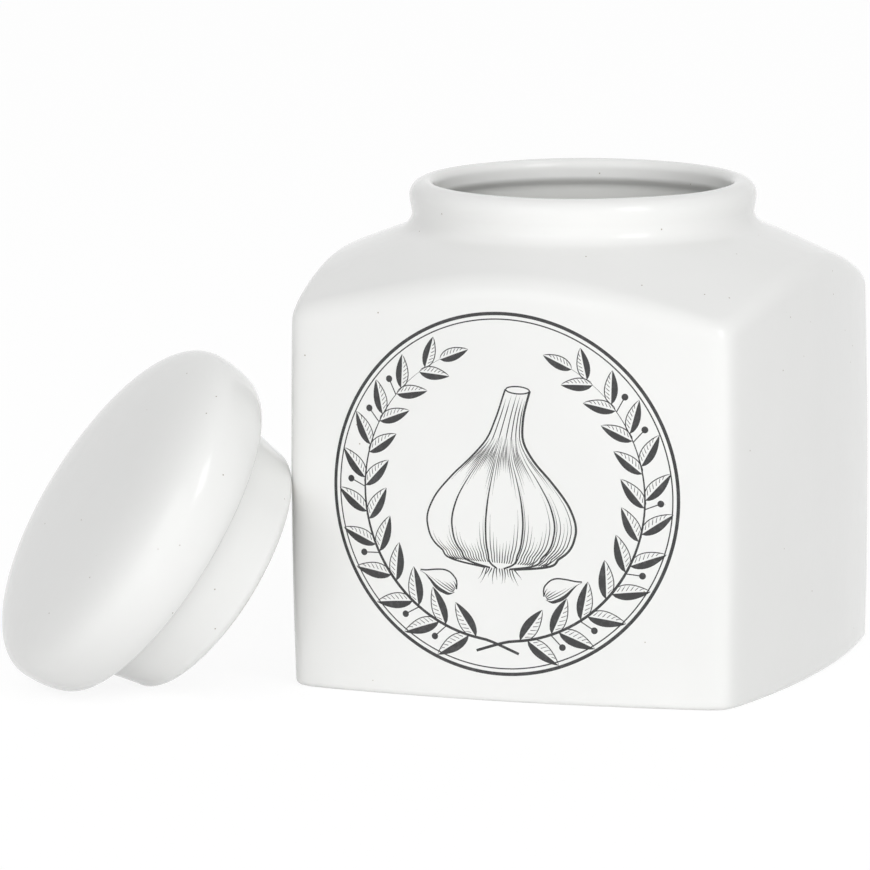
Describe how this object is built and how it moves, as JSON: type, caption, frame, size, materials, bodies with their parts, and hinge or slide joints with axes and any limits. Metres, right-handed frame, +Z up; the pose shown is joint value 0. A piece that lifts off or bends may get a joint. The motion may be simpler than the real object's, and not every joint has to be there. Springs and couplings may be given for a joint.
{
  "type": "garlic keeper",
  "caption": "White glazed porcelain storage jar with a square bowed body, domed shoulder and round collared neck, its mushroom-shaped lid taken off and leaning beside it.",
  "frame": {"origin": "centre of the jar's flat base, on the surface that it stands on", "axes": "+Z up along the jar's axis, -Y out of the printed front face, +X to the right seen from the front"},
  "size_m": [0.1876, 0.166, 0.1176],
  "materials": {
    "jar_glaze": "glossy white glaze, dry matt foot",
    "lid_glaze": "glossy white glaze"
  },
  "bodies": {
    "jar": {"jar": "jar_glaze"},
    "lid": {"lid": "lid_glaze"}
  },
  "joints": [
    {"name": "lid_lift", "type": "slide", "parent": "jar", "child": "lid", "axis": [0, 0, 1], "range_m": [0, 0.13]}
  ]
}
